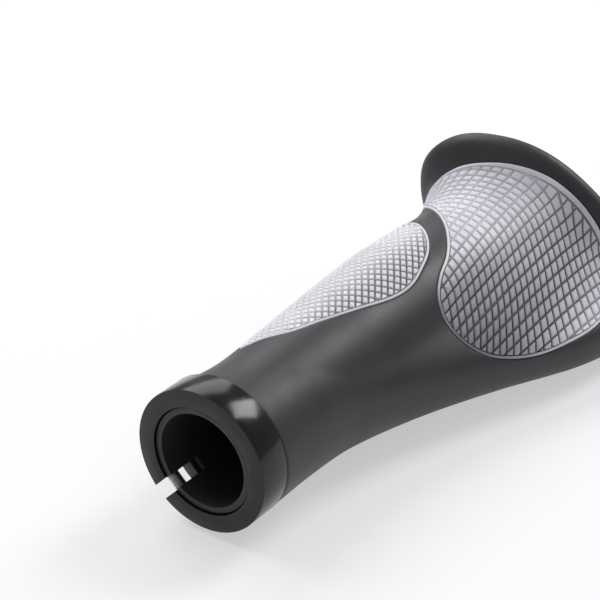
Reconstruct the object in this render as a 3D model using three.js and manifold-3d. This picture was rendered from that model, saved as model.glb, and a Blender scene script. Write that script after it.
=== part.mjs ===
import * as THREE from "three";
import { mergeVertices } from "three/addons/utils/BufferGeometryUtils.js";
import Module from "manifold-3d";

const wasm = await Module();
wasm.setup();

// Frame: X runs along the bore from the clamp end to the outer end, Z is up, millimetres.
// The palm wing points towards -Y and droops a little below it.

// Fit to the bar and between pieces.
const BORE_R = 11.2; // slides over a 22.2 mm handlebar
const GAP = 0.3; // clearance between neighbouring pieces
const LENGTH = 129.5; // clamp face to the rubber's outer face
const PAST = 1; // how far a cutting shape runs on past what it cuts

// Hard sleeve under the rubber.
const SLEEVE_WALL = 1.7;
const SLEEVE_R = BORE_R + SLEEVE_WALL;
const SLEEVE_SLIT = 3.2;
const SLEEVE_INSET = 0.5; // its end lies this far inside the clamp face

// Clamp screw and the ring that holds it in its wall.
const SCREW_R = 1.5;
const SCREW_HEAD_R = 1.9;
const SCREW_HEAD_LENGTH = 2.4;
const SCREW_REACH = 5.6; // each way from the middle of the slot
const SCREW_OFFSET = SLEEVE_R + SCREW_HEAD_R; // from the bore axis to the screw axis
const SOCKET_FLATS = 1.7;
const SOCKET_DEPTH = 1.3;
const RING_COVER = 0.3; // metal outside the screw head
const RING_R = SCREW_OFFSET + SCREW_HEAD_R + RING_COVER;
const RING_WIDTH = 8;
const RING_CHAMFER = 0.5;
const SLOT_WIDTH = 3.6;
const SLOT_TURN = -47; // degrees from +Y towards +Z

// Plug that closes the sleeve at the outer end.
const PLUG_WALL = 1.6;
const PLUG_DEPTH = 8;
const PLUG_FLANGE = 1.3;
const PLUG_DOME = 0.5;
const PLUG_SHOULDER = 0.8; // width of the slope round the dome

// Rubber body. Places along it are drawn from DRAWN_START to DRAWN_END and follow the real ends.
// Rubber over the sleeve on the round part, reach of the wing over the sleeve, wing edge radius.
const DRAWN_START = 8.3;
const DRAWN_END = 129.5;
const BODY_START = RING_WIDTH + GAP;
const WING_DROOP = 15;
const TUBE = [
  [8, 3.5], [13, 2.8], [20, 2.4], [28, 2.7], [44, 3.7],
  [62, 5], [76, 5.6], [92, 5.3], [104, 4.6], [130, 4.3],
];
const REACH = [
  [8, 4.1], [20, 3.9], [31, 4.2], [38, 5.1], [50, 8], [63, 11.9], [80, 17.9],
  [97, 24.5], [108, 28.2], [114, 29.1], [119, 28.7], [124, 26.3], [130, 21.1],
];
const EDGE = [[8, 15.6], [28, 15], [45, 12], [60, 9.6], [80, 7.6], [100, 6.4], [130, 5.2]];
const TOP_DIP = 1.4; // hollow of the wing's top face
const UNDER_DIP = 2.2; // hollow of the wing's underside
const DIP_FROM = 35; // the hollows start here and are full at DIP_TO
const DIP_TO = 90;
const EDGE_ROUND = 0.7; // rounding of the body's two ends

// Raised lip round the outer end: its height over the sleeve by angle from the wing, and its
// profile along the body.
const LIP = [
  [-14, 24.1], [0, 25.9], [20, 22.7], [52, 16.8], [75, 15.4], [110, 16],
  [135, 17.5], [156, 16.7], [172, 12.7], [188, 7.9], [204, 4.5], [215, 3.6],
];
const LIP_FULL = 4; // degrees from the wing where the lip reaches its full height
const LIP_RISE = [
  [98, 0], [104, 0.02], [110, 0.1], [115, 0.23], [119, 0.38], [121, 0.52], [122.2, 0.7],
  [123.4, 0.87], [125, 0.98], [126.5, 1], [128, 0.93], [129.1, 0.82], [129.5, 0.7],
];
const LIP_X = 125;
const END_SLANT = 0.14; // the outer end leans back towards the clamp on its +Y side
const SLANT_FROM = 98; // the lean starts here and is full at SLANT_TO
const SLANT_TO = 121;

// Inlaid pads. Their outlines are [place along the body, distance across from the top].
const PAD_DEPTH = 1.1;
const PAD_PROUD = 0.2;
const PAD_EDGE = 0.25; // rounding of the border's outer edge
const RIM = 1.2; // smooth border round each pad
const RELIEF = 0.55; // depth of the patterns
const POINT_PROUD = 0.05; // tops of the patterns over the border
const PALM_CELL = [2.5, 2.65]; // pitch of the palm pad's blocks along and across
const PALM_START = 96; // a corner of the pattern lies here, on the top
const PALM_SQUARE = 24; // the rows run square over the top and slant on the wing past this
const PALM_TILT = 0.1; // rows of blocks climb towards the outer end
const PALM_GROOVE = 0.36; // half the width of a groove between blocks
const FINGER_CELL = 1.95; // pitch of the finger pad's small points
const FINGER_START = [60, -12];
const PALM_OUTLINE = [
  [118, -30], [113.5, -25], [108, -18.5], [100.8, -10.5], [92, -2.2], [84, 3.4], [76, 7],
  [71.3, 10.8], [69.9, 17], [70.6, 23], [74, 28.4], [80, 32.6], [88, 36], [98, 38], [107, 38.8],
  [114, 37.5], [118.6, 33.6], [121.6, 27.5], [122.7, 19], [122.6, 8], [121.8, -2], [120.9, -12],
  [119.8, -22],
];
const FINGER_OUTLINE = [
  [25.5, -13.2], [28.4, -9.9], [33, -5.4], [40.5, -2.3], [50.8, 1.4], [60.6, 4.4], [67.5, 4.7],
  [74.5, 2.8], [81.2, 0], [88.5, -5.9], [93, -12.5], [94.2, -19], [91, -25.5], [84, -29],
  [74, -28.5], [62, -24.5], [50, -20.5], [38, -17.3], [29, -15.6],
];
const PALM_MIDDLE = new THREE.Vector2(100, 14);
const FINGER_MIDDLE = new THREE.Vector2(66, -11);

const rad = THREE.MathUtils.degToRad;

// Smooth curve through [x, value] pairs, level beyond both ends.
function along(pairs, x) {
  const last = pairs.length - 1;
  if (x <= pairs[0][0]) return pairs[0][1];
  if (x >= pairs[last][0]) return pairs[last][1];
  let i = 0;
  while (x > pairs[i + 1][0]) i++;
  const slope = (k) => {
    const a = pairs[Math.max(k - 1, 0)];
    const b = pairs[Math.min(k + 1, last)];
    return (b[1] - a[1]) / (b[0] - a[0]);
  };
  const [x0, y0] = pairs[i];
  const [x1, y1] = pairs[i + 1];
  const h = x1 - x0;
  const t = (x - x0) / h;
  const u = 1 - t;
  const level = y0 * (1 + 2 * t) * u * u + y1 * t * t * (3 - 2 * t);
  return level + (slope(i) * u - slope(i + 1) * t) * h * t * u;
}

const ramp = (a, b, x) => THREE.MathUtils.smoothstep(x, a, b);

// Section without the lip: a round tube and a rounded wing edge joined by two hollow faces.
function sectionRadius(x, turn) {
  const a = Math.abs(turn);
  const tube = SLEEVE_R + along(TUBE, x);
  const edge = Math.min(along(EDGE, x), tube - 0.2);
  const out = Math.max(SLEEVE_R + along(REACH, x), tube + 0.01) - edge;
  const meet = Math.acos((tube - edge) / out);
  const tip = Math.atan2(edge * Math.sin(meet), out + edge * Math.cos(meet));
  if (a >= meet) return tube;
  if (a <= tip) return out * Math.cos(a) + Math.sqrt(edge * edge - (out * Math.sin(a)) ** 2);
  const hollow = Math.sin((Math.PI * (a - tip)) / (meet - tip)) ** 2;
  const dip = (turn > 0 ? TOP_DIP : UNDER_DIP) * ramp(DIP_FROM, DIP_TO, x);
  return tube / Math.cos(a - meet) - dip * hollow * Math.sin(meet);
}

// How far the rounding of an end takes the surface in, by distance from that end.
function rounding(d) {
  const within = THREE.MathUtils.clamp(EDGE_ROUND - d, 0, EDGE_ROUND);
  return EDGE_ROUND - Math.sqrt(EDGE_ROUND ** 2 - within ** 2);
}

// Point of the rubber's outer surface; turn runs from the wing (0) over the top (PI / 2).
function skin(x, turn) {
  const t = turn > Math.PI * 1.25 ? turn - 2 * Math.PI : turn;
  const deg = THREE.MathUtils.radToDeg(t);
  const plainTurn = t > Math.PI ? t - 2 * Math.PI : t;
  let r = sectionRadius(x, plainTurn);
  if (deg > LIP[0][0] && deg < LIP[LIP.length - 1][0]) {
    const lift = SLEEVE_R + along(LIP, deg) - sectionRadius(LIP_X, plainTurn);
    r += Math.max(lift, 0) * ramp(LIP[0][0], LIP_FULL, deg) * along(LIP_RISE, x);
  }
  r -= rounding(x - DRAWN_START) + rounding(DRAWN_END - x);
  const way = t - rad(WING_DROOP) + Math.PI;
  const y = r * Math.cos(way);
  const share = (x - DRAWN_START) / (DRAWN_END - DRAWN_START);
  const placed = BODY_START + share * (LENGTH - BODY_START);
  return new THREE.Vector3(placed - END_SLANT * y * ramp(SLANT_FROM, SLANT_TO, x), y, -r * Math.sin(way));
}

// Distance along the section from the top (0) to the given turn, positive towards the wing.
const STEPS = 160;
const arcs = new Map();
function arcTable(x) {
  const key = Math.round(x * 50);
  if (arcs.has(key)) return arcs.get(key);
  const turnOf = (i) => -Math.PI / 2 + (2 * Math.PI * i) / STEPS;
  const table = [[0, turnOf(0)]];
  let last = skin(key / 50, turnOf(0));
  for (let i = 1; i <= STEPS; i++) {
    const next = skin(key / 50, turnOf(i));
    table.push([table[i - 1][0] + next.distanceTo(last), turnOf(i)]);
    last = next;
  }
  const top = table[STEPS / 2][0];
  for (const row of table) row[0] = top - row[0];
  arcs.set(key, table);
  return table;
}

function turnAt(x, across) {
  const table = arcTable(x);
  let low = 0;
  let high = STEPS;
  while (high - low > 1) {
    const mid = (low + high) >> 1;
    if (table[mid][0] > across) low = mid;
    else high = mid;
  }
  const t = (table[low][0] - across) / (table[low][0] - table[high][0]);
  return table[low][1] + t * (table[high][1] - table[low][1]);
}

// Places along the body where its sections are taken, closest at the outer end.
const SECTIONS = 30;
const stations = Array.from({ length: SECTIONS }, (_, k) => 1 - (1 - k / (SECTIONS - 1)) ** 1.9)
  .map((share) => DRAWN_START + share * (DRAWN_END - DRAWN_START));
stations.splice(1, 0, DRAWN_START + EDGE_ROUND * 0.3, DRAWN_START + EDGE_ROUND);
const ROUND = 60;

function finish(color, roughness, metalness) {
  return new THREE.MeshStandardMaterial({ color, roughness, metalness });
}
const rubber = finish(0x2f2d31, 0.6, 0);
const padRubber = finish(0xb4b4bb, 0.55, 0);
const anodised = finish(0x0d0d0f, 0.2, 0.9);
const nylon = finish(0x141416, 0.55, 0);
const steel = finish(0x2a2a2d, 0.35, 1);

// Points round each pad's outline, the line where its pattern's floor starts, and how far a
// lattice is looked for each way from its start.
const PALM_COUNT = 64;
const FINGER_COUNT = 52;
const FENCE = RIM + 0.2;
const LATTICE_REACH = 60;

// Gathers named points and faces, and gives them back as one closed geometry facing out.
class Shell {
  constructor() {
    this.points = [];
    this.faces = [];
    this.names = new Map();
  }
  point(name, make) {
    if (!this.names.has(name)) {
      this.names.set(name, this.points.length);
      this.points.push(make());
    }
    return this.names.get(name);
  }
  face(...ids) {
    for (let i = 2; i < ids.length; i++) this.faces.push(ids[0], ids[i - 1], ids[i]);
  }
  // Band of faces between two closed rings of point numbers.
  band(a, b) {
    a.forEach((_, i) => {
      const j = (i + 1) % a.length;
      this.face(a[i], a[j], b[j], b[i]);
    });
  }
  fan(ring, centre) {
    ring.forEach((id, i) => this.face(id, ring[(i + 1) % ring.length], centre));
  }
  geometry() {
    let volume = 0;
    for (let i = 0; i < this.faces.length; i += 3) {
      const [a, b, c] = this.faces.slice(i, i + 3).map((k) => this.points[k]);
      volume += a.dot(b.clone().cross(c));
    }
    if (volume < 0) this.faces.reverse();
    const geometry = new THREE.BufferGeometry().setFromPoints(this.points);
    geometry.setIndex(this.faces);
    return geometry;
  }
}

// Solids to join and cut, and back.
function solid(geometry) {
  const bare = new THREE.BufferGeometry().setAttribute("position", geometry.getAttribute("position"));
  const welded = mergeVertices(bare.setIndex(geometry.getIndex()), 1e-4);
  return new wasm.Manifold(new wasm.Mesh({
    numProp: 3,
    vertProperties: welded.getAttribute("position").array,
    triVerts: new Uint32Array(welded.getIndex().array),
  }));
}

function surfaceOf(body) {
  const { numProp, vertProperties, triVerts } = body.getMesh();
  const places = new Float32Array(vertProperties.filter((_, i) => i % numProp < 3));
  return new THREE.BufferGeometry()
    .setAttribute("position", new THREE.BufferAttribute(places, 3))
    .setIndex(new THREE.BufferAttribute(new Uint32Array(triVerts), 1));
}

function piece(name, geometry, material) {
  const flat = geometry.toNonIndexed();
  flat.computeVertexNormals();
  const mesh = new THREE.Mesh(flat, material);
  mesh.name = name;
  return mesh;
}

// Closed outline of [x, radius] corners turned round the bore axis.
function turned(corners) {
  const profile = [...corners, corners[0]].reverse().map(([x, r]) => new THREE.Vector2(r, x));
  return new THREE.LatheGeometry(profile, ROUND).rotateZ(-Math.PI / 2);
}

// Box from the bore axis outwards and from the clamp face inwards, turned with the clamp slot.
function slotCutter(width, length) {
  const box = new THREE.BoxGeometry(length + PAST, 2 * RING_R, width);
  return box.translate((length - PAST) / 2, RING_R, 0).rotateX(rad(SLOT_TURN));
}

// Cylinder along the clamp screw's axis, from one distance to another off the slot's middle plane.
function alongScrew(radius, from, to, segments = 24) {
  const shape = new THREE.CylinderGeometry(radius, radius, to - from, segments).rotateX(Math.PI / 2);
  shape.translate(RING_WIDTH / 2, SCREW_OFFSET, (from + to) / 2);
  return shape.rotateX(rad(SLOT_TURN));
}

// Point of the skin by place along X and distance across the section, lifted off it by a height.
function onSkin(x, across, height) {
  const turn = turnAt(x, across);
  const there = skin(x, turn);
  const round = skin(x, turn + 0.01).sub(skin(x, turn - 0.01));
  const length = skin(x + 0.15, turn).sub(skin(x - 0.15, turn));
  return there.addScaledVector(length.cross(round).normalize(), height);
}

// Evenly spaced points of a smooth closed outline, moved inwards by a distance.
function outlinePoints(corners, count, inset) {
  const curve = new THREE.CatmullRomCurve3(corners.map(([x, a]) => new THREE.Vector3(x, a, 0)), true);
  const even = curve.getSpacedPoints(count).slice(0, count);
  const inward = THREE.ShapeUtils.isClockWise(even) ? 1 : -1;
  return even.map((p, i) => {
    const way = even[(i + 1) % count].clone().sub(even[(i + count - 1) % count]).normalize();
    return new THREE.Vector2(p.x + inset * inward * way.y, p.y - inset * inward * way.x);
  });
}

// Sheet from an outline in to its middle, in rings closest at the outline, on the skin at a height.
const SHARES = [1, 0.95, 0.88, 0.78, 0.64, 0.47, 0.27];
function spreadSheet(shell, name, outline, middle, height, facesUp) {
  const rings = SHARES.map((share, k) => outline.map((p, i) => shell.point(name + k + "_" + i, () => {
    const q = middle.clone().lerp(p, share);
    return onSkin(q.x, q.y, height);
  })));
  const centre = shell.point(name + "middle", () => onSkin(middle.x, middle.y, height));
  const order = facesUp ? rings.map((ring) => [...ring].reverse()) : rings;
  for (let k = 1; k < rings.length; k++) shell.band(order[k - 1], order[k]);
  shell.fan(order[rings.length - 1], centre);
  return rings[0];
}

// Closed walls, smooth border and underside of a pad; returns the pattern's floor outline.
function padBlank(shell, outline, middle, count) {
  const ring = (name, inset, height) => outlinePoints(outline, count, inset)
    .map((p, i) => shell.point(name + i, () => onSkin(p.x, p.y, height)));
  const rims = [
    spreadSheet(shell, "under", outlinePoints(outline, count, 0), middle, -PAD_DEPTH, false),
    ring("edge", 0, PAD_PROUD - PAD_EDGE),
    ring("outer", PAD_EDGE, PAD_PROUD),
    ring("inner", RIM, PAD_PROUD),
    ring("floor", FENCE, PAD_PROUD - RELIEF),
  ];
  for (let k = 1; k < rims.length; k++) shell.band(rims[k], rims[k - 1]);
  return rims[rims.length - 1];
}

const sides = [[1, 0], [-1, 0], [0, 1], [0, -1]];
const pair = (key) => key.split(",").map(Number);

function isInside(p, fence) {
  return fence.reduce((odd, a, i) => {
    const b = fence[(i + 1) % fence.length];
    return (a.y > p.y) !== (b.y > p.y) && p.x < a.x + ((p.y - a.y) * (b.x - a.x)) / (b.y - a.y) ? !odd : odd;
  }, false);
}

// Nearest point where the line from one point through another meets a fence.
function meetFence(from, through, fence) {
  const way = through.clone().sub(from);
  let nearest = Infinity;
  fence.forEach((a, i) => {
    const b = fence[(i + 1) % fence.length].clone().sub(a);
    const turn = way.cross(b);
    const t = a.clone().sub(from).cross(b) / turn;
    const u = a.clone().sub(from).cross(way) / turn;
    if (t > 0 && t < nearest && u >= 0 && u <= 1) nearest = t;
  });
  return from.clone().addScaledVector(way, nearest);
}

// Places of the lattice corners inside an outline, and of the ones just outside, pulled in to its border.
function latticeInside(corner, outline, margin, keep) {
  const border = outlinePoints(outline, 240, margin);
  const core = outlinePoints(outline, 240, margin + keep);
  const places = new Map();
  for (let i = -LATTICE_REACH; i <= LATTICE_REACH; i++) {
    for (let j = -LATTICE_REACH; j <= LATTICE_REACH; j++) {
      if (isInside(corner(i, j), core)) places.set(i + "," + j, corner(i, j));
    }
  }
  const pulled = new Map();
  for (const key of places.keys()) {
    const [i, j] = pair(key);
    for (const [di, dj] of sides) {
      const other = i + di + "," + (j + dj);
      if (places.has(other)) continue;
      if (!pulled.has(other)) pulled.set(other, []);
      pulled.get(other).push(meetFence(places.get(key), corner(i + di, j + dj), border));
    }
  }
  for (const [key, spots] of pulled) {
    const sum = spots.reduce((total, p) => total.add(p), new THREE.Vector2());
    places.set(key, sum.divideScalar(spots.length));
  }
  return places;
}

// Cells with all four corners placed, keyed by their first corner.
function cellsOf(places) {
  const cells = new Set([...places.keys()].filter((key) => {
    const [i, j] = pair(key);
    return [[1, 0], [1, 1], [0, 1]].every(([di, dj]) => places.has(i + di + "," + (j + dj)));
  }));
  const joined = (i, j) => sides.filter(([di, dj]) => cells.has(i + di + "," + (j + dj))).length;
  for (let pass = 0; pass < 4; pass++) {
    for (const key of [...cells]) if (joined(...pair(key)) < 2) cells.delete(key);
  }
  return cells;
}

// Corner keys round the outside of a set of cells, in order.
function edgeOf(cells) {
  const next = new Map();
  const side = (i, j, di, dj, from, to) => {
    if (!cells.has(i + di + "," + (j + dj))) next.set(from.join(), to.join());
  };
  for (const key of cells) {
    const [i, j] = pair(key);
    side(i, j, 0, -1, [i, j], [i + 1, j]);
    side(i, j, 1, 0, [i + 1, j], [i + 1, j + 1]);
    side(i, j, 0, 1, [i + 1, j + 1], [i, j + 1]);
    side(i, j, -1, 0, [i, j + 1], [i, j]);
  }
  const loop = [];
  for (let at = next.keys().next().value; !loop.includes(at); at = next.get(at)) loop.push(at);
  return loop;
}

function doubleArea(flat, a, b, c) {
  return flat[b].clone().sub(flat[a]).cross(flat[c].clone().sub(flat[a]));
}

// Swaps the side that two flat triangles share wherever the other way across is shorter, so that
// the triangles follow the skin closely once they are laid on it.
const FLAT = 1e-6;
function shortenSides(flat, triangles) {
  let swapped = true;
  while (swapped) {
    swapped = false;
    const known = new Map();
    const changed = new Set();
    for (const triangle of triangles) {
      for (let k = 0; k < 3; k++) {
        const [a, b, c] = [0, 1, 2].map((n) => triangle[(k + n) % 3]);
        const twin = known.get(b + "," + a);
        known.set(a + "," + b, { triangle, d: c });
        if (!twin || changed.has(twin.triangle)) continue;
        const d = twin.d;
        if (flat[c].distanceTo(flat[d]) > flat[a].distanceTo(flat[b]) - FLAT) continue;
        if (doubleArea(flat, c, a, d) < FLAT || doubleArea(flat, d, b, c) < FLAT) continue;
        triangle.splice(0, 3, c, a, d);
        twin.triangle.splice(0, 3, d, b, c);
        changed.add(triangle).add(twin.triangle);
        swapped = true;
        break;
      }
    }
  }
}

// Pad with a pattern: a smooth border, a sunk floor and one raised shape on each cell of a lattice.
function patternedPad(outline, middle, count, corner, pitch, raise) {
  const shell = new Shell();
  const floor = padBlank(shell, outline, middle, count);
  const places = latticeInside(corner, outline, FENCE + 0.5, 0.3 * pitch);
  const cells = cellsOf(places);
  const loop = edgeOf(cells);
  const place = (key) => places.get(key);
  const onFloor = (p) => onSkin(p.x, p.y, PAD_PROUD - RELIEF);
  const low = (key) => shell.point("node" + key, () => onFloor(place(key)));
  const fence = outlinePoints(outline, count, FENCE);
  const flat = [...fence, ...loop.map(place)];
  const ids = [...floor, ...loop.map(low)];
  const triangles = THREE.ShapeUtils.triangulateShape(fence, [loop.map(place)])
    .map(([a, b, c]) => (doubleArea(flat, a, b, c) > 0 ? [a, b, c] : [a, c, b]));
  shortenSides(flat, triangles);
  for (const corners of triangles) shell.face(...corners.map((n) => ids[n]));
  for (const key of cells) {
    const [i, j] = pair(key);
    const corners = [[i, j], [i + 1, j], [i + 1, j + 1], [i, j + 1]].map((k) => k.join());
    raise(shell, key, corners, low, place);
  }
  return shell.geometry();
}

// Palm pad: flat-topped blocks in rows along X, square over the top and slanting on the wing.
function palmPad() {
  const [pitchX, pitchV] = PALM_CELL;
  const near = PALM_GROOVE / pitchX;
  const far = 1 - near;
  const corner = (i, j) => {
    const v = j * pitchV;
    const t = THREE.MathUtils.clamp(v / PALM_SQUARE, 0, 1);
    const x = i * pitchX - PALM_SQUARE * (t ** 3 - t ** 4 / 2) - Math.max(v - PALM_SQUARE, 0);
    return new THREE.Vector2(PALM_START + x, v - PALM_TILT * x);
  };
  const block = (shell, key, corners, low, place) => {
    const [a, b, c, d] = corners.map(place);
    const top = [[near, near], [far, near], [far, far], [near, far]].map(([u, v], k) => {
      const p = a.clone().lerp(b, u).lerp(d.clone().lerp(c, u), v);
      return shell.point("top" + key + k, () => onSkin(p.x, p.y, PAD_PROUD + POINT_PROUD));
    });
    shell.band(corners.map(low), top);
    shell.face(...top);
  };
  return patternedPad(PALM_OUTLINE, PALM_MIDDLE, PALM_COUNT, corner, pitchX, block);
}

// Finger pad: small square points.
function fingerPad() {
  const [startX, startV] = FINGER_START;
  const corner = (i, j) => new THREE.Vector2(startX + i * FINGER_CELL, startV + j * FINGER_CELL);
  const tip = (shell, key, corners, low, place) => {
    const [a, b, c, d] = corners.map(place);
    const middle = a.clone().add(b).add(c).add(d).divideScalar(4);
    const top = shell.point("tip" + key, () => onSkin(middle.x, middle.y, PAD_PROUD + POINT_PROUD));
    shell.fan(corners.map(low), top);
  };
  return patternedPad(FINGER_OUTLINE, FINGER_MIDDLE, FINGER_COUNT, corner, FINGER_CELL, tip);
}

// Space a pad is let into: the pad with clearance, open above the skin.
function pocket(outline, middle, count) {
  const shell = new Shell();
  const wide = outlinePoints(outline, count, -GAP);
  const under = spreadSheet(shell, "under", wide, middle, -PAD_DEPTH - GAP, false);
  const over = spreadSheet(shell, "over", wide, middle, PAST, true);
  shell.band(over, under);
  return shell.geometry();
}

function gripBody() {
  const shell = new Shell();
  const turns = Array.from({ length: ROUND }, (_, i) => (i / ROUND) * 2 * Math.PI)
    .map((t) => t - 0.62 * Math.sin(t));
  const rings = stations.map((x, k) => turns.map((t, i) => shell.point(k + "_" + i, () => skin(x, t))));
  for (let k = 1; k < rings.length; k++) shell.band(rings[k], rings[k - 1]);
  shell.fan(rings[0], shell.point("start", () => new THREE.Vector3(BODY_START, 0, 0)));
  const last = [...rings[rings.length - 1]].reverse();
  shell.fan(last, shell.point("end", () => new THREE.Vector3(LENGTH, 0, 0)));
  const radius = SLEEVE_R + GAP;
  const bore = new THREE.CylinderGeometry(radius, radius, 2 * LENGTH, ROUND).rotateZ(-Math.PI / 2);
  return surfaceOf(solid(shell.geometry())
    .subtract(solid(pocket(PALM_OUTLINE, PALM_MIDDLE, PALM_COUNT)))
    .subtract(solid(pocket(FINGER_OUTLINE, FINGER_MIDDLE, FINGER_COUNT)))
    .subtract(solid(bore.translate(LENGTH / 2, 0, 0))));
}

// Sleeve over the whole length, a little thinner where the clamp ring sits on it.
function coreSleeve() {
  const end = LENGTH - PLUG_FLANGE - GAP;
  const neck = SLEEVE_R - GAP;
  const tube = turned([
    [SLEEVE_INSET, BORE_R], [end, BORE_R], [end, SLEEVE_R],
    [BODY_START, SLEEVE_R], [BODY_START, neck], [SLEEVE_INSET, neck],
  ]);
  return surfaceOf(solid(tube).subtract(solid(slotCutter(SLEEVE_SLIT, BODY_START + PAST))));
}

function clampRing() {
  const c = RING_CHAMFER;
  const ring = turned([
    [0, SLEEVE_R], [RING_WIDTH, SLEEVE_R], [RING_WIDTH, RING_R - c],
    [RING_WIDTH - c, RING_R], [c, RING_R], [0, RING_R - c],
  ]);
  const beyond = 2 * RING_R;
  return surfaceOf(solid(ring)
    .subtract(solid(slotCutter(SLOT_WIDTH, RING_WIDTH + PAST)))
    .subtract(solid(alongScrew(SCREW_R + GAP, -SCREW_REACH - GAP, beyond)))
    .subtract(solid(alongScrew(SCREW_HEAD_R + GAP, SCREW_REACH - SCREW_HEAD_LENGTH - GAP, beyond))));
}

function clampScrew() {
  const shank = alongScrew(SCREW_R, -SCREW_REACH, SCREW_REACH - SCREW_HEAD_LENGTH / 2);
  const head = alongScrew(SCREW_HEAD_R, SCREW_REACH - SCREW_HEAD_LENGTH, SCREW_REACH, 32);
  const socket = alongScrew(SOCKET_FLATS / Math.sqrt(3), SCREW_REACH - SOCKET_DEPTH, SCREW_REACH + PAST, 6);
  return surfaceOf(solid(shank).add(solid(head)).subtract(solid(socket)));
}

// Plug: a cup in the sleeve's end, a flange over the end of the sleeve and a low dome.
function endPlug() {
  const cup = BORE_R - GAP;
  const inner = cup - PLUG_WALL;
  const back = LENGTH - PLUG_DEPTH;
  const under = LENGTH - PLUG_FLANGE;
  const top = LENGTH + PLUG_DOME;
  return turned([
    [back, inner], [under, inner], [under, 0], [top, 0], [top, SLEEVE_R - PLUG_SHOULDER],
    [LENGTH, SLEEVE_R], [under, SLEEVE_R], [under, cup], [back, cup],
  ]);
}

const group = new THREE.Group();
group.add(
  piece("core_sleeve", coreSleeve(), nylon),
  piece("grip_body", gripBody(), rubber),
  piece("palm_pad", palmPad(), padRubber),
  piece("finger_pad", fingerPad(), padRubber),
  piece("clamp_ring", clampRing(), anodised),
  piece("clamp_screw", clampScrew(), steel),
  piece("end_plug", endPlug(), nylon),
);

export default group;
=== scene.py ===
import bpy
import numpy as np
from mathutils import Matrix, Vector


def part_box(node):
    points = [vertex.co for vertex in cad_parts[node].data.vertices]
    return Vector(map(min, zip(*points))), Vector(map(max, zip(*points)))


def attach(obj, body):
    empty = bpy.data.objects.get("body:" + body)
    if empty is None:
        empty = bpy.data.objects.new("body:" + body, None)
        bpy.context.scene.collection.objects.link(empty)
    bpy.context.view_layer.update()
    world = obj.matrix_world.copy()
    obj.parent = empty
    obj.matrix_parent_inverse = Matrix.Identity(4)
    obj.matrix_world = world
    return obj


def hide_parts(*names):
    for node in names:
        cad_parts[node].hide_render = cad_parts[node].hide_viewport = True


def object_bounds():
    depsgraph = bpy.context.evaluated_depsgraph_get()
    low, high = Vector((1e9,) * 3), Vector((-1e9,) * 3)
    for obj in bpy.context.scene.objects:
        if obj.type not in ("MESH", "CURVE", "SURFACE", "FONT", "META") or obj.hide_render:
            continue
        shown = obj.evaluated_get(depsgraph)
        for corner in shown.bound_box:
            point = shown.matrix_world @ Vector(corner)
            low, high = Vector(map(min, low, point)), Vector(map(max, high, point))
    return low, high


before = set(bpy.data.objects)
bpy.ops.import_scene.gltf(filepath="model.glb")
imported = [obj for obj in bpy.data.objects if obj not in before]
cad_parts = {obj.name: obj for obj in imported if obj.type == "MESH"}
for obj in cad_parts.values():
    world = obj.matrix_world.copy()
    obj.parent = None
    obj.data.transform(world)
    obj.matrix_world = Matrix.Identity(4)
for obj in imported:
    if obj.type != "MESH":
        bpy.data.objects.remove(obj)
cad_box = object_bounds()


# Camera: a long lens that looks down on the clamp end, with the grip running away to the upper right
# and its outer end just past the frame.
camera = bpy.data.objects.new("camera", bpy.data.cameras.new("camera"))
bpy.context.scene.collection.objects.link(camera)
bpy.context.scene.camera = camera
camera.data.lens = 120
camera.location = (-0.2744, -0.2259, 0.2378)
camera.rotation_euler = np.radians((60.8, 0, -53.95))
bpy.context.scene.view_settings.view_transform = "Standard"


# Floor: a white sheet under the lowest point of the rubber, wide enough to fill the view, with the
# soft shadow of the grip on it.
class Finish:
    """A material as it is made: its Principled shader, and nodes that are added and wired to it."""

    def __init__(self, name, colour, roughness, metallic=0.0):
        self.material = bpy.data.materials.new(name)
        self.material.use_nodes = True
        self.tree = self.material.node_tree
        self.shader = self.tree.nodes["Principled BSDF"]
        self.shader.inputs["Base Color"].default_value = (*colour, 1)
        self.shader.inputs["Roughness"].default_value = roughness
        self.shader.inputs["Metallic"].default_value = metallic

    def add(self, kind, values, wires=()):
        """Adds a node, sets its settings and inputs by name or number, and wires it up."""
        node = self.tree.nodes.new("ShaderNode" + kind)
        for key, value in values.items():
            if isinstance(key, str) and key not in node.inputs:
                setattr(node, key, value)
            else:
                node.inputs[key].default_value = value
        self.wire(node, *wires)
        return node

    def wire(self, node, *wires):
        """Wires a node's inputs up, from (input, other node's output) pairs."""
        for socket, source in wires:
            self.tree.links.new(source, node.inputs[socket])


FLOOR_SIZE = 6
FLOOR_WHITENESS = 0.5  # share of plain white that the camera sees over the shaded sheet

bpy.ops.object.select_all(action="DESELECT")
bpy.ops.mesh.primitive_plane_add(size=FLOOR_SIZE, location=(0.05, 0, cad_box[0][2]))
floor = bpy.context.object
floor.name = "floor"
floor_white = Finish("floor_white", (0.96, 0.96, 0.965), 0.9)
path = floor_white.add("LightPath", {})
seen = path.outputs["Is Camera Ray"]
for kind in ("Is Glossy Ray", "Is Transmission Ray"):
    wires = [(0, seen), (1, path.outputs[kind])]
    seen = floor_white.add("Math", {"operation": "MAXIMUM"}, wires).outputs[0]
share = floor_white.add("Math", {"operation": "MULTIPLY", 1: FLOOR_WHITENESS}, [(0, seen)]).outputs[0]
white = floor_white.add("Emission", {"Strength": 1.0}).outputs[0]
diffuse = floor_white.shader.outputs[0]
mix = floor_white.add("MixShader", {}, [(0, share), (1, diffuse), (2, white)])
floor_white.wire(floor_white.tree.nodes["Material Output"], ("Surface", mix.outputs[0]))
floor.data.materials.append(floor_white.material)


# Light: an even room and three large soft boxes behind the grip. The strip's reflection stands as a
# pale patch on the clamp ring, and the others lie along the top of the tube.
LAMP_AIM = (0.06, 0, 0)


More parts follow.
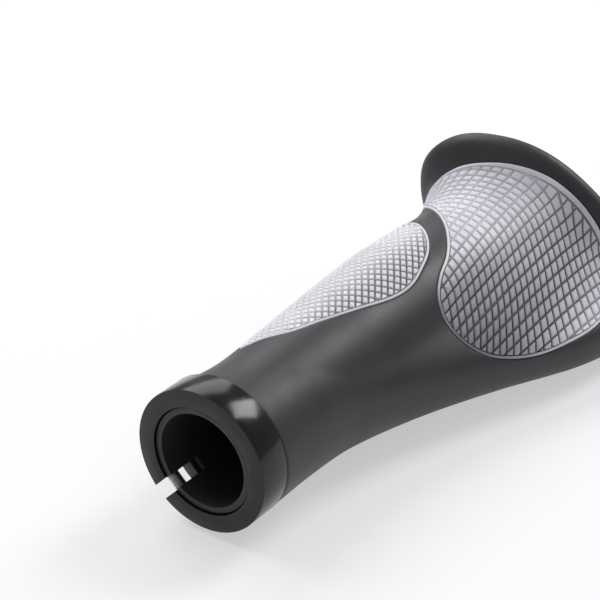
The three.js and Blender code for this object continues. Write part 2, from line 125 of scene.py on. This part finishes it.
def light_room(colour, strength):
    """Even light of one colour from all round."""
    world = bpy.data.worlds.new("room")
    bpy.context.scene.world = world
    world.use_nodes = True
    background = world.node_tree.nodes["Background"]
    background.inputs["Color"].default_value = (*colour, 1)
    background.inputs["Strength"].default_value = strength


def soft_box(name, place, width, height, power):
    """A flat lamp that faces the grip, with its size in metres and its power in watts."""
    lamp = bpy.data.objects.new(name, bpy.data.lights.new(name, "AREA"))
    bpy.context.scene.collection.objects.link(lamp)
    lamp.data.shape = "RECTANGLE"
    lamp.data.size = width
    lamp.data.size_y = height
    lamp.data.energy = power
    lamp.location = place
    lamp.rotation_euler = (Vector(LAMP_AIM) - Vector(place)).to_track_quat("-Z", "Y").to_euler()


light_room((0.96, 0.97, 1), 0.36)
soft_box("strip", (1.73, -0.58, 1.77), 0.95, 1, 26)
soft_box("window", (1.56, 1.45, 1.38), 1.5, 1.2, 12)
soft_box("side", (0.2, 1.6, 1.85), 1.8, 1.4, 28)


# Core sleeve: a tube of black nylon that slides over the bar. Its inboard end is turned down and slit,
# so that the clamp ring can squeeze it on the bar.
MM = 0.001  # sizes are in millimetres until a piece is complete
SLOT_TURN = np.radians(-47)  # from +Y towards +Z
SLEEVE_SLOT = 3.2
THIN_END = 0.3  # the end inside the ring is thinner by this
NYLON_GRAIN = 3000.0
bore_radius = 11.2
sleeve_radius = 12.9
ring_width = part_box("clamp_ring")[1].x / MM
sleeve_start, sleeve_end = (corner.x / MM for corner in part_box("core_sleeve"))


def deselect():
    bpy.ops.object.select_all(action="DESELECT")


def cylinder(radius, start, end, turn=(0, np.pi / 2, 0), centre=(0, 0, 0), vertices=128):
    """A cylinder from one distance to another along its axis, with its place in its mesh."""
    deselect()
    bpy.ops.mesh.primitive_cylinder_add(vertices=vertices, radius=radius, depth=end - start)
    made = bpy.context.object
    made.data.transform(Matrix.Translation((0, 0, (start + end) / 2)))
    made.location = centre
    made.rotation_euler = turn
    bpy.ops.object.transform_apply(location=True, rotation=True, scale=False)
    return made


def slot_cutter(width, length, reach=34):
    """A box from the bore axis outwards and in from the clamp face, turned with the clamp slot."""
    deselect()
    bpy.ops.mesh.primitive_cube_add(size=1)
    made = bpy.context.object
    made.scale = (length + 1, reach, width)
    made.location = ((length - 1) / 2, reach / 2, 0)
    bpy.ops.object.transform_apply()
    made.data.transform(Matrix.Rotation(SLOT_TURN, 4, "X"))
    return made


def combine(piece, tool, operation):
    """Joins a tool to a piece, cuts the piece with it or keeps what both share, and removes the tool."""
    deselect()
    bpy.context.view_layer.objects.active = piece
    modifier = piece.modifiers.new("combine", "BOOLEAN")
    modifier.operation = operation
    modifier.solver = "MANIFOLD"
    modifier.object = tool
    bpy.ops.object.modifier_apply(modifier=modifier.name)
    bpy.data.objects.remove(tool)


def round_edges(piece, width, segments=2):
    """Rounds a piece's sharp edges."""
    deselect()
    bpy.context.view_layer.objects.active = piece
    modifier = piece.modifiers.new("round", "BEVEL")
    modifier.width = width
    modifier.segments = segments
    modifier.limit_method = "ANGLE"
    modifier.angle_limit = np.radians(40)
    bpy.ops.object.modifier_apply(modifier=modifier.name)


def moulded(name, colour, faded, roughness, grain, depth):
    """Moulded nylon or rubber: faint faded patches that are a little duller, and a fine grain."""
    made = Finish(name, colour, roughness)
    place = made.add("TexCoord", {}).outputs["Object"]
    patches = made.add("TexNoise", {"Scale": 70.0, "Detail": 6.0, "Roughness": 0.6}, [("Vector", place)])
    spread = made.add("MapRange", {1: 0.35, 2: 0.65}, [(0, patches.outputs["Fac"])]).outputs[0]
    tint = made.add("Mix", {"data_type": "RGBA", 6: (*colour, 1), 7: (*faded, 1)}, [(0, spread)])
    dull = made.add("MapRange", {3: roughness - 0.04, 4: roughness + 0.06}, [(0, spread)])
    fine = made.add("TexNoise", {"Scale": grain, "Detail": 3.0}, [("Vector", place)])
    bump = made.add("Bump", {"Strength": 0.4, "Distance": depth}, [("Height", fine.outputs["Fac"])])
    made.wire(made.shader, ("Base Color", tint.outputs[2]), ("Roughness", dull.outputs[0]),
              ("Normal", bump.outputs[0]))
    return made


def complete(piece, name, finish, node):
    """Millimetres to metres, smooth shading, name, material, and the CAD node that it stands for."""
    piece.data.transform(Matrix.Scale(MM, 4))
    deselect()
    piece.select_set(True)
    bpy.context.view_layer.objects.active = piece
    bpy.ops.object.shade_smooth_by_angle(angle=np.radians(35))
    piece.name = piece.data.name = name
    piece.data.materials.clear()
    piece.data.materials.append(finish.material)
    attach(piece, "root")
    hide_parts(node)


sleeve = cylinder(sleeve_radius - THIN_END, sleeve_start, ring_width + 1)
combine(sleeve, cylinder(sleeve_radius, ring_width + 0.3, sleeve_end), "UNION")
combine(sleeve, cylinder(bore_radius, sleeve_start - 1, sleeve_end + 1), "DIFFERENCE")
combine(sleeve, slot_cutter(SLEEVE_SLOT, ring_width + 1.3), "DIFFERENCE")
round_edges(sleeve, 0.15)
nylon = moulded(
    "black_nylon", (0.011, 0.011, 0.012), (0.016, 0.016, 0.018), 0.5, NYLON_GRAIN, 0.00005,
)
complete(sleeve, "sleeve", nylon, "core_sleeve")


# End plug: a moulded nylon cup, pressed in the outer end of the sleeve, with a flange that covers the
# sleeve's end. It is rounded at every edge.
PLUG_FLANGE = 1.8
PLUG_WALL = 1.6
plug_radius = bore_radius - 0.3
plug_start, plug_top = (corner.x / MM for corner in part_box("end_plug"))
plug = cylinder(plug_radius, plug_start, plug_top - 1)
combine(plug, cylinder(sleeve_radius, plug_top - PLUG_FLANGE, plug_top), "UNION")
combine(plug, cylinder(plug_radius - PLUG_WALL, plug_start - 1, plug_top - PLUG_FLANGE), "DIFFERENCE")
round_edges(plug, 0.45, 3)
plug_nylon = moulded(
    "plug_nylon", (0.013, 0.013, 0.014), (0.019, 0.019, 0.021), 0.45, NYLON_GRAIN, 0.00005,
)
complete(plug, "plug", plug_nylon, "end_plug")


# Grip body: charcoal rubber moulded over the sleeve. It is round at the clamp, grows a flat palm wing
# towards the outer end, and ends in a lip that curls up round that end.
BODY_START = 8.3
BODY_END = 129.5
WING_DROOP = np.radians(15)  # how far the wing hangs below level
# Rubber over the sleeve, reach of the wing past the sleeve, and radius of the wing's edge, along X.
TUBE = (
    (8, 3.5), (13, 2.8), (20, 2.4), (28, 2.7), (44, 3.7), (62, 5), (76, 5.6),
    (92, 5.3), (104, 4.6), (130, 4.3),
)
REACH = (
    (8, 4.1), (20, 3.9), (31, 4.2), (38, 5.1), (50, 8), (63, 11.9), (80, 17.9),
    (97, 24.5), (108, 28.2), (114, 29.1), (119, 28.7), (124, 26.3), (130, 21.1),
)
EDGE = ((8, 15.6), (28, 15), (45, 12), (60, 9.6), (80, 7.6), (100, 6.4), (130, 5.2))
TOP_DIP = 1.4  # how hollow the wing's two faces are
UNDER_DIP = 2.2
END_ROUND = 0.7
# Height of the lip over the sleeve by degrees round the section, and the lip's share of it along X.
LIP = (
    (-14, 24.1), (0, 25.9), (20, 22.7), (52, 16.8), (75, 15.4), (110, 16),
    (135, 17.5), (156, 16.7), (172, 12.7), (188, 7.9), (204, 4.5), (215, 3.6),
)
LIP_RISE = (
    (98, 0), (104, 0.02), (110, 0.1), (115, 0.23), (119, 0.38), (121, 0.52), (122.2, 0.7),
    (123.4, 0.87), (125, 0.98), (126.5, 1), (128, 0.93), (129.1, 0.82), (129.5, 0.7),
)
LIP_X = 125  # the section that the lip's height is measured on
LIP_FROM, LIP_FULL, LIP_TO = -14, 4, 215
END_SLANT = 0.14  # how much further out the end face runs on the wing's side
RUBBER_GRAIN = 2500.0


def along(pairs, x):
    """A smooth curve through (place, value) pairs, level beyond both ends."""
    place, value = np.array(pairs, float).T
    last = len(place) - 1
    before = np.maximum(np.arange(last + 1) - 1, 0)
    after = np.minimum(np.arange(last + 1) + 1, last)
    slope = (value[after] - value[before]) / (place[after] - place[before])
    i = np.clip(np.searchsorted(place, x) - 1, 0, last - 1)
    span = place[i + 1] - place[i]
    t = np.clip((x - place[i]) / span, 0, 1)
    u = 1 - t
    level = value[i] * (1 + 2 * t) * u * u + value[i + 1] * t * t * (3 - 2 * t)
    return level + (slope[i] * u - slope[i + 1] * t) * span * t * u


def ramp(start, end, x):
    """Rises smoothly from 0 to 1 between a start and an end."""
    t = np.clip((x - start) / (end - start), 0, 1)
    return t * t * (3 - 2 * t)


def section_radius(x, turn):
    """The section without the lip: a round tube and a rounded wing edge joined by two hollow faces."""
    a = np.abs(turn)
    tube = sleeve_radius + along(TUBE, x)
    edge = np.minimum(along(EDGE, x), tube - 0.2)
    out = np.maximum(sleeve_radius + along(REACH, x), tube + 0.01) - edge
    meet = np.arccos((tube - edge) / out)
    tip = np.arctan2(edge * np.sin(meet), out + edge * np.cos(meet))
    rounded = out * np.cos(a) + np.sqrt(np.maximum(edge**2 - (out * np.sin(a)) ** 2, 0))
    hollow = np.sin(np.pi * (a - tip) / (meet - tip)) ** 2
    dip = np.where(turn > 0, TOP_DIP, UNDER_DIP) * ramp(35, 90, x)
    face = tube / np.cos(a - meet) - dip * hollow * np.sin(meet)
    return np.where(a >= meet, tube, np.where(a <= tip, rounded, face))


def rounding(distance):
    """How far the end's rounded edge pulls the skin in, by distance from that end."""
    within = np.clip(END_ROUND - distance, 0, END_ROUND)
    return END_ROUND - np.sqrt(END_ROUND**2 - within**2)


def skin(x, turn):
    """A point of the rubber's outer surface. The turn runs from the wing (0) over the top (pi / 2)."""
    t = np.where(turn > 1.25 * np.pi, turn - 2 * np.pi, turn)
    centred = np.where(t > np.pi, t - 2 * np.pi, t)
    degrees = np.degrees(t)
    lift = sleeve_radius + along(LIP, degrees) - section_radius(np.full_like(t, LIP_X), centred)
    share = ramp(LIP_FROM, LIP_FULL, degrees) * (degrees < LIP_TO)
    curl = np.maximum(lift, 0) * share * along(LIP_RISE, x)
    r = section_radius(x, centred) + curl - rounding(x - BODY_START) - rounding(BODY_END - x)
    way = t - WING_DROOP + np.pi
    y = r * np.cos(way)
    return np.stack((x - END_SLANT * y * ramp(98, 121, x), y, -r * np.sin(way)), axis=-1)


def reshape(piece, move):
    """Moves all of a mesh's points by a function of their coordinates."""
    count = len(piece.data.vertices)
    co = np.empty(3 * count)
    piece.data.vertices.foreach_get("co", co)
    moved = np.asarray(move(*co.reshape(-1, 3).T))
    piece.data.vertices.foreach_set("co", moved.ravel())
    piece.data.update()


def rolled_sheet(rows, columns, move):
    """A grid rolled up into a tube by a function of two shares from 0 to 1, with its ends closed."""
    deselect()
    bpy.ops.mesh.primitive_grid_add(x_subdivisions=rows, y_subdivisions=columns, size=1)
    made = bpy.context.object
    reshape(made, lambda u, v, w: move(u + 0.5, v + 0.5))
    bpy.ops.object.mode_set(mode="EDIT")
    bpy.ops.mesh.select_all(action="SELECT")
    bpy.ops.mesh.remove_doubles(threshold=0.001)
    bpy.ops.mesh.fill_holes(sides=0)
    bpy.ops.mesh.select_all(action="SELECT")
    bpy.ops.mesh.normals_make_consistent(inside=False)
    bpy.ops.object.mode_set(mode="OBJECT")
    return made


def body_skin(far, turn):
    """The skin with its rows closest at both ends and its columns closest on the wing's edge."""
    x = np.interp(far, (0, 0.05, 0.5, 0.93, 1), (0, 1.4, 85, 119.8, BODY_END - BODY_START))
    return skin(BODY_START + x, turn * 2 * np.pi - 0.62 * np.sin(turn * 2 * np.pi))


body = rolled_sheet(130, 192, body_skin)
combine(body, cylinder(sleeve_radius + 0.05, 0, 140), "DIFFERENCE")

# The pads' outlines, as places along X and distances round the skin from the top, towards the wing.
PALM_OUTLINE = (
    (118, -30), (113.5, -25), (108, -18.5), (100.8, -10.5), (92, -2.2), (84, 3.4), (76, 7),
    (71.3, 10.8), (69.9, 17), (70.6, 23), (74, 28.4), (80, 32.6), (88, 36), (98, 38), (107, 38.8),
    (114, 37.5), (118.6, 33.6), (121.6, 27.5), (122.7, 19), (122.6, 8), (121.8, -2), (120.9, -12),
    (119.8, -22),
)
FINGER_OUTLINE = (
    (25.5, -13.2), (28.4, -9.9), (33, -5.4), (40.5, -2.3), (50.8, 1.4), (60.6, 4.4), (67.5, 4.7),
    (74.5, 2.8), (81.2, 0), (88.5, -5.9), (93, -12.5), (94.2, -19), (91, -25.5), (84, -29),
    (74, -28.5), (62, -24.5), (50, -20.5), (38, -17.3), (29, -15.6),
)
ROW_STEP = 0.5
ROWS = np.arange(BODY_START, BODY_END + ROW_STEP, ROW_STEP)
TURNS = np.linspace(-np.pi / 2, 1.5 * np.pi, 401)


def distances_across():
    """For each row along the body, the distance round the skin from the top to each turn."""
    rows, turns = np.meshgrid(ROWS, TURNS, indexing="ij")
    steps = np.linalg.norm(np.diff(skin(rows, turns), axis=1), axis=-1)
    run = np.concatenate((np.zeros((len(ROWS), 1)), np.cumsum(steps, axis=1)), axis=1)
    return run[:, [len(TURNS) // 2]] - run


ACROSS = distances_across()


def turn_at(x, across):
    """The turn of a place on the skin, from its distance round from the top."""
    row = (x - ROWS[0]) / ROW_STEP
    whole = row.astype(int)
    turn = np.empty_like(x)
    for i in np.unique(whole):
        here = whole == i
        near, far = (np.interp(-across[here], -ACROSS[k], TURNS) for k in (i, i + 1))
        turn[here] = near + (row[here] - i) * (far - near)
    return turn


def laid(x, across, height):
    """A flat place laid on the skin of the body."""
    turn = turn_at(x, across)
    round_way = skin(x, turn + 0.01) - skin(x, turn - 0.01)
    long_way = skin(x + 0.15, turn) - skin(x - 0.15, turn)
    out = np.cross(long_way, round_way)
    return skin(x, turn) + out * (height / np.linalg.norm(out, axis=1))[:, None]


def smooth_outline(corners, count):
    """Evenly spaced points of a closed smooth curve through corners, and the way out at each."""
    p = np.array(corners, float)
    before, after, later = np.roll(p, 1, 0), np.roll(p, -1, 0), np.roll(p, -2, 0)
    spans = ((before, p), (p, after), (after, later))
    gaps = [np.sqrt(np.linalg.norm(b - a, axis=1))[:, None] for a, b in spans]
    start = ((p - before) / gaps[0] - (after - before) / (gaps[0] + gaps[1])) * gaps[1] + after - p
    end = ((later - after) / gaps[2] - (later - p) / (gaps[1] + gaps[2])) * gaps[1] + after - p
    t = np.linspace(0, 1, 40, endpoint=False)[:, None, None]
    square = (3 * (after - p) - 2 * start - end) * t**2
    cube = (2 * (p - after) + start + end) * t**3
    curve = p + start * t + square + cube
    curve = curve.transpose(1, 0, 2).reshape(-1, 2)
    closed = np.vstack((curve, curve[:1]))
    run = np.concatenate(([0], np.cumsum(np.linalg.norm(np.diff(closed, axis=0), axis=1))))
    at = np.linspace(0, run[-1], count, endpoint=False)
    even = np.stack([np.interp(at, run, closed[:, k]) for k in (0, 1)], axis=1)
    area = np.sum(even[:, 0] * np.roll(even[:, 1], -1) - even[:, 1] * np.roll(even[:, 0], -1))
    if area < 0:
        even = even[::-1]
    way = np.roll(even, -1, 0) - np.roll(even, 1, 0)
    way /= np.linalg.norm(way, axis=1)[:, None]
    return even, np.stack((way[:, 1], -way[:, 0]), axis=1)


def prism(corners, levels, count=220):
    """A closed solid with an outline's shape, through (offset outwards, height) levels going up."""
    points, out = smooth_outline(corners, count)
    # Points are left out where the deepest inset would bring them too near another stretch.
    inset = -min(offset for offset, height in levels)
    moved = points - out * inset
    apart = np.linalg.norm(moved[:, None] - points[None], axis=2).min(axis=1)
    kept = apart > inset - 0.03
    points, out = points[kept], out[kept]
    size = len(points)
    rings = [np.column_stack((points + out * offset, np.full(size, height))) for offset, height in levels]
    ring = np.arange(size)
    sides = [
        np.stack((ring, np.roll(ring, -1), np.roll(ring, -1) + size, ring + size), axis=1) + k * size
        for k in range(len(levels) - 1)
    ]
    faces = [ring[::-1].tolist(), *np.vstack(sides).tolist(), (ring + size * (len(levels) - 1)).tolist()]
    made = bpy.data.objects.new("prism", bpy.data.meshes.new("prism"))
    made.data.from_pydata(np.vstack(rings).tolist(), [], faces)
    bpy.context.scene.collection.objects.link(made)
    return made


PALM_START = 96  # where the palm pad's grid starts along X
FULL_SLANT = 24  # how far round from the top its rows have turned from square to a full slant
CLOSING = 18  # how far on from the start its rows draw closer
FINGER_START = (60, -12)  # where the finger pad's grid starts along X and round from the top
FINGER_SLANT = np.radians(54)


def palm_rows(p, v, height):
    """Bends a flat grid as the palm pad's rows run: square at the top, slanting back on the wing.

    The plain numbers set how far the rows spread, lean and bow.
    """
    t = np.clip(v / FULL_SLANT, 0, 1)
    past = np.maximum(v - FULL_SLANT, 0)
    run = p - FULL_SLANT * (t**3 - t**4 / 2) - past + 0.02 * past**2
    outer = np.maximum(run, 0)
    closer = 0.0135 * np.minimum(outer, CLOSING) ** 2 + 0.486 * np.maximum(outer - CLOSING, 0)
    climb = (0.0045 * np.maximum(v, 0) - 0.24) * run + 0.0055 * outer**2
    return np.stack((PALM_START + 1.18 * run - closer, v + climb, height), axis=1)


def finger_rows(p, v, height):
    """Turns a flat grid so that the finger pad's rows run slantwise round the tube."""
    start, across = FINGER_START
    x = start + p * np.cos(FINGER_SLANT) - v * np.sin(FINGER_SLANT)
    return np.stack((x, p * np.sin(FINGER_SLANT) + v * np.cos(FINGER_SLANT) + across, height), axis=1)


# First and last cell along X, first and last across, the size of a cell, and how the rows run.
PALM_PATTERN = ((-12, 25), (-14, 17), (2.5, 2.65), palm_rows)
FINGER_PATTERN = ((-24, 24), (-18, 18), (1.5, 2.2), finger_rows)


def cell_sheet(pattern, height):
    """A flat sheet with one face for each cell of a pad's pattern, before its rows are bent."""
    (first, last), (low, high), (wide, deep) = pattern[:3]
    deselect()
    bpy.ops.mesh.primitive_grid_add(x_subdivisions=last - first, y_subdivisions=high - low, size=1)
    made = bpy.context.object
    made.scale = ((last - first) * wide, (high - low) * deep, 1)
    made.location = ((first + last) / 2 * wide, (low + high) / 2 * deep, height)
    bpy.ops.object.transform_apply()
    return made


def slab(pattern, bottom, top):
    """A flat slab with a pad's cells on both sides."""
    made = cell_sheet(pattern, bottom)
    bpy.ops.object.mode_set(mode="EDIT")
    bpy.ops.mesh.select_all(action="SELECT")
    bpy.ops.mesh.extrude_region_move(TRANSFORM_OT_translate={"value": (0, 0, top - bottom)})
    bpy.ops.object.mode_set(mode="OBJECT")
    reshape(made, pattern[3])
    return made


def lay(piece):
    """Lays a flat piece on the body's skin."""
    deselect()
    bpy.context.view_layer.objects.active = piece
    modifier = piece.modifiers.new("corners", "TRIANGULATE")
    bpy.ops.object.modifier_apply(modifier=modifier.name)
    reshape(piece, laid)
    piece.select_set(True)
    bpy.ops.object.mode_set(mode="EDIT")
    bpy.ops.mesh.select_all(action="SELECT")
    bpy.ops.mesh.flip_normals()
    bpy.ops.object.mode_set(mode="OBJECT")


# How far a pocket stands out from its pad, and at what height: closest below, and flared at the skin.
POCKET_LEVELS = (
    (0.06, -1.3), (0.06, -0.35), (0.12, -0.16), (0.26, -0.03), (0.5, 0.04), (1.5, 0.35), (2.5, 1),
)
POCKET_FLOOR = -1.15
for outline, pattern in ((PALM_OUTLINE, PALM_PATTERN), (FINGER_OUTLINE, FINGER_PATTERN)):
    pocket = slab(pattern, POCKET_FLOOR, 0.8)
    combine(pocket, prism(outline, POCKET_LEVELS), "INTERSECT")
    lay(pocket)
    combine(body, pocket, "DIFFERENCE")
rubber = moulded(
    "body_rubber", (0.0215, 0.0196, 0.0228), (0.029, 0.027, 0.0305), 0.46, RUBBER_GRAIN, 0.00008,
)
complete(body, "body", rubber, "grip_body")


# Palm pad: an inlay of pale soft rubber in the top of the wing, with a smooth bead round it and rows of
# low flat blocks that the palm rests on. It is moulded flat and bonded in its pocket.
PAD_UNDER = -1.1
PAD_FLOOR = -0.35
PAD_TOP = 0.2
BLOCK_ROOT = 0.3  # how far the blocks go down into the pad below its floor
BLOCK_GAP = 0.08  # half the gap between two blocks' roots
# Distances out from the pad's outline, and heights there, of the bead's outer and inner side.
BEAD_OUTSIDE = ((0, -1.3), (0, 0), (-0.09, 0.14), (-0.25, 0.21), (-0.5, 0.3))
BEAD_INSIDE = ((-0.68, -0.5), (-0.64, -0.1), (-0.58, 0.12), (-0.5, 0.21), (-0.42, 0.8))
BLOCKS_TO = -0.85  # where the blocks end, inside the bead


def raised_blocks(pattern, top, groove, edge):
    """Separate blocks, one on each cell, with sloping sides and rounded top edges."""
    made = cell_sheet(pattern, PAD_FLOOR - BLOCK_ROOT)
    bpy.ops.object.mode_set(mode="EDIT")
    bpy.ops.mesh.select_mode(type="FACE")
    bpy.ops.mesh.select_all(action="SELECT")
    bpy.ops.mesh.inset(thickness=BLOCK_GAP, use_individual=True)
    bpy.ops.mesh.select_all(action="INVERT")
    bpy.ops.mesh.delete(type="FACE")
    bpy.ops.mesh.select_all(action="SELECT")
    bpy.ops.mesh.extrude_region_move(TRANSFORM_OT_translate={"value": (0, 0, BLOCK_ROOT)})
    bpy.ops.mesh.inset(thickness=groove - BLOCK_GAP, depth=top - PAD_FLOOR, use_individual=True)
    bpy.ops.mesh.bevel(offset=edge, segments=2)
    bpy.ops.object.mode_set(mode="OBJECT")
    reshape(made, pattern[3])
    return made


def pad_of(outline, pattern, top, groove, edge):
    """A plate with a rounded bead, sunk to the blocks' floor inside the bead, with its blocks on it.

    The attribute relief says how high each point stands, from the floor (0) to the bead (1).
    """
    plate = slab(pattern, PAD_UNDER, PAD_TOP)
    combine(plate, prism(outline, BEAD_OUTSIDE), "INTERSECT")
    recess = slab(pattern, PAD_FLOOR, 0.6)
    combine(recess, prism(outline, BEAD_INSIDE), "INTERSECT")
    combine(plate, recess, "DIFFERENCE")
    field = raised_blocks(pattern, top, groove, edge)
    combine(field, prism(outline, ((BLOCKS_TO, -1), (BLOCKS_TO, 1))), "INTERSECT")
    combine(plate, field, "UNION")
    relief = plate.data.attributes.new("relief", "FLOAT", "POINT")
    heights = np.array([point.co.z for point in plate.data.vertices])
    relief.data.foreach_set("value", np.clip((heights - PAD_FLOOR) / (PAD_TOP - PAD_FLOOR), 0, 1))
    lay(plate)
    return plate


def mixed(finish, colour, other, share):
    """Mixes another colour output into a plain colour by a share."""
    return finish.add("Mix", {"data_type": "RGBA", 6: colour}, [(0, share), (7, other)]).outputs[2]


def pad_rubber(name, unshaded, painted_shade, painted_groove_shade, middle, reach):
    """Pale rubber with painted shade: darker in an ellipse, and darker still in the grooves there."""
    made = moulded(name, unshaded, [channel * 0.9 for channel in unshaded], 0.5, RUBBER_GRAIN, 0.00006)
    patches = made.shader.inputs["Base Color"].links[0].from_socket
    relief = made.add("Attribute", {"attribute_name": "relief"}).outputs["Fac"]
    high = made.add("MapRange", {1: 0.1, 2: 0.75}, [(0, relief)]).outputs[0]
    place = made.add("TexCoord", {}).outputs["Object"]
    centre = [distance * MM for distance in middle]
    scale = [1 / (distance * MM) for distance in reach]
    aside = made.add("VectorMath", {"operation": "SUBTRACT", 1: (*centre, 0)}, [(0, place)]).outputs[0]
    scaled = made.add("VectorMath", {"operation": "MULTIPLY", 1: (*scale, 0)}, [(0, aside)]).outputs[0]
    wires = [(0, scaled), (1, scaled)]
    spread = made.add("VectorMath", {"operation": "DOT_PRODUCT"}, wires).outputs["Value"]
    # Painted shade: the tops darken towards the ellipse's middle, and the grooves darken over a wider
    # ellipse.
    top_unshaded = made.add("MapRange", {1: 0, 2: 1.1}, [(0, spread)]).outputs[0]
    groove_unshaded = made.add("MapRange", {1: 0.5, 2: 1.7}, [(0, spread)]).outputs[0]
    shaded_tops = mixed(made, (*painted_shade, 1), patches, top_unshaded)
    shaded_grooves = mixed(made, (*painted_groove_shade, 1), patches, groove_unshaded)
    tint = made.add("Mix", {"data_type": "RGBA"}, [(0, high), (6, shaded_grooves), (7, shaded_tops)]).outputs[2]
    made.wire(made.shader, ("Base Color", tint))
    return made


palm_pad = pad_of(PALM_OUTLINE, PALM_PATTERN, top=0.25, groove=0.4, edge=0.16)
# Painted shade on the palm pad: an ellipse over the wing's hollow, darkest in its grooves.
palm_rubber = pad_rubber(
    "palm_rubber", unshaded=(0.79, 0.785, 0.835), painted_shade=(0.19, 0.188, 0.215),
    painted_groove_shade=(0.045, 0.045, 0.055), middle=(72, -23), reach=(60, 14),
)
complete(palm_pad, "palm_inlay", palm_rubber, "palm_pad")


# Finger pad: an inlay of the same pale rubber on the side away from the wing, with small raised points
# under the fingers.
finger_pad = pad_of(FINGER_OUTLINE, FINGER_PATTERN, top=0.22, groove=0.34, edge=0.12)
# Painted shade on the finger pad: a long band along its middle, mild on the tops and darker in the
# grooves.
finger_rubber = pad_rubber(
    "finger_rubber", unshaded=(0.82, 0.815, 0.855), painted_shade=(0.68, 0.675, 0.72),
    painted_groove_shade=(0.2, 0.2, 0.22), middle=(60, -12), reach=(400, 12),
)
complete(finger_pad, "finger_inlay", finger_rubber, "finger_pad")


# Clamp ring: turned from aluminium and anodised black. It is slit through at one side, and a screw
# across the slit closes it on the sleeve.
RING_SLOT = 3.6
SCREW_OFFSET = 14.8  # from the bore's axis
SCREW_REACH = 5.6  # to both sides of the middle of the slot
SCREW_HEAD = 2.4
SCREW_HOLE = 1.8  # the radius that the thread goes through
SCREW_SEAT = 2.2  # the wider radius that the head is sunk in
ring_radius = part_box("clamp_ring")[1].y / MM


def along_screw(radius, start, end, vertices=48):
    """A cylinder on the clamp screw's axis, by distances from the middle of the slot."""
    centre = (ring_width / 2, SCREW_OFFSET * np.cos(SLOT_TURN), SCREW_OFFSET * np.sin(SLOT_TURN))
    return cylinder(radius, start, end, (SLOT_TURN, 0, 0), centre, vertices)


ring = cylinder(ring_radius, 0, ring_width, vertices=256)
combine(ring, cylinder(sleeve_radius, -1, ring_width + 1, vertices=256), "DIFFERENCE")
round_edges(ring, 0.45, 3)
past_ring = 2 * ring_radius
combine(ring, slot_cutter(RING_SLOT, ring_width + 1), "DIFFERENCE")
combine(ring, along_screw(SCREW_HOLE, -SCREW_REACH - 0.3, past_ring), "DIFFERENCE")
combine(ring, along_screw(SCREW_SEAT, SCREW_REACH - SCREW_HEAD - 0.3, past_ring), "DIFFERENCE")
round_edges(ring, 0.1)
anodised = Finish("black_anodised", (0.006, 0.006, 0.007), 0.16)
anodised.shader.inputs["Specular IOR Level"].default_value = 0.36
place = anodised.add("TexCoord", {}).outputs["Object"]
turned = anodised.add("Mapping", {"Scale": (9000.0, 60.0, 60.0)}, [("Vector", place)])
lines = anodised.add("TexNoise", {"Scale": 1.0, "Detail": 2.0}, [("Vector", turned.outputs[0])])
bump = anodised.add("Bump", {"Strength": 0.08, "Distance": 0.00002}, [("Height", lines.outputs["Fac"])])
smears = anodised.add("TexNoise", {"Scale": 180.0, "Detail": 5.0}, [("Vector", place)])
dull = anodised.add("MapRange", {1: 0.35, 2: 0.7, 3: 0.13, 4: 0.24}, [(0, smears.outputs["Fac"])])
anodised.wire(anodised.shader, ("Normal", bump.outputs[0]), ("Roughness", dull.outputs[0]))
complete(ring, "ring", anodised, "clamp_ring")


# Clamp screw: a small socket head screw of plated steel, across the slit of the ring. Its thread is
# rolled, and its head has a hexagon socket.
THREAD_PITCH = 0.5
THREAD_RADIUS = 1.5
THREAD_DEPTH = 0.25
THREAD_IN_HEAD = 0.4  # how far the shank runs on into the head
HEAD_RADIUS = 1.9
SOCKET_RADIUS = 1.15
SOCKET_DEPTH = 1.2
head_start = SCREW_REACH - SCREW_HEAD


def threaded(turn, far):
    """The shank's surface, with a ridge that climbs one pitch a turn, before it is turned in place."""
    z = far * (head_start + THREAD_IN_HEAD + SCREW_REACH) - SCREW_REACH
    ridge = 2 * np.abs((z / THREAD_PITCH - turn) % 1 - 0.5)
    radius = THREAD_RADIUS - THREAD_DEPTH + THREAD_DEPTH * ridge
    x = ring_width / 2 + radius * np.cos(turn * 2 * np.pi)
    return np.stack((x, SCREW_OFFSET + radius * np.sin(turn * 2 * np.pi), z), axis=1)


screw = rolled_sheet(32, 150, threaded)
screw.data.transform(Matrix.Rotation(SLOT_TURN, 4, "X"))
head = along_screw(HEAD_RADIUS, head_start, SCREW_REACH)
socket = along_screw(SOCKET_RADIUS, SCREW_REACH - SOCKET_DEPTH, SCREW_REACH + 1, vertices=6)
combine(head, socket, "DIFFERENCE")
round_edges(head, 0.12)
combine(screw, head, "UNION")
steel = Finish("plated_steel", (0.3, 0.3, 0.31), 0.35, 1.0)
place = steel.add("TexCoord", {}).outputs["Object"]
spots = steel.add("TexNoise", {"Scale": 900.0, "Detail": 4.0}, [("Vector", place)])
dull = steel.add("MapRange", {3: 0.25, 4: 0.5}, [(0, spots.outputs["Fac"])])
tint = steel.add("Mix", {"data_type": "RGBA", 6: (0.45, 0.45, 0.46, 1), 7: (0.7, 0.7, 0.7, 1)},
                 [(0, spots.outputs["Fac"])])
steel.wire(steel.shader, ("Roughness", dull.outputs[0]), ("Base Color", tint.outputs[2]))
complete(screw, "screw", steel, "clamp_screw")
